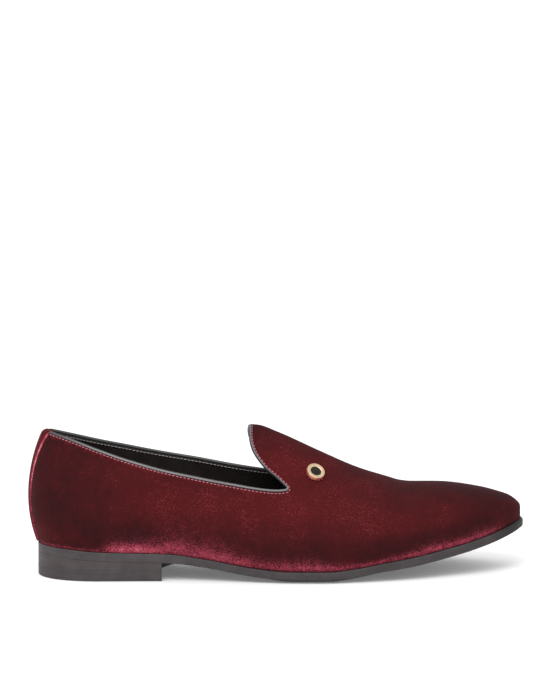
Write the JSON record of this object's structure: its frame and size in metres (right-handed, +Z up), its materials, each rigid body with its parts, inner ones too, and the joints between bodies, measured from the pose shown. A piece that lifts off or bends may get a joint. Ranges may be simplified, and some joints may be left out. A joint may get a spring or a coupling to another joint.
{
  "type": "velvet loafer",
  "caption": "Men's velvet slip-on loafer, right foot: low leather sole and heel, piped topline, tall tongue, strip over the back seam and a round metal stud.",
  "frame": {"origin": "on the floor, under the middle of the shoe's box", "axes": "+X to the toe, +Y to the inner side of the foot, +Z up"},
  "size_m": [0.3028, 0.0984, 0.0899],
  "materials": {
    "velvet": "burgundy cotton velvet",
    "piping_leather": "black calf, satin",
    "insole_leather": "black lining leather, matt",
    "sole_leather": "dyed and burnished edge",
    "heel_rubber": "matt",
    "gilt_metal": "polished gilt",
    "black_stone": "glossy black enamel"
  },
  "bodies": {
    "root": {"upper": "velvet", "heel_strip": "velvet", "collar_piping": "piping_leather", "insole": "insole_leather", "outsole": "sole_leather", "heel_lift": "sole_leather", "heel_top_piece": "heel_rubber", "stud_ring": "gilt_metal", "stud_stone": "black_stone"}
  },
  "joints": []
}
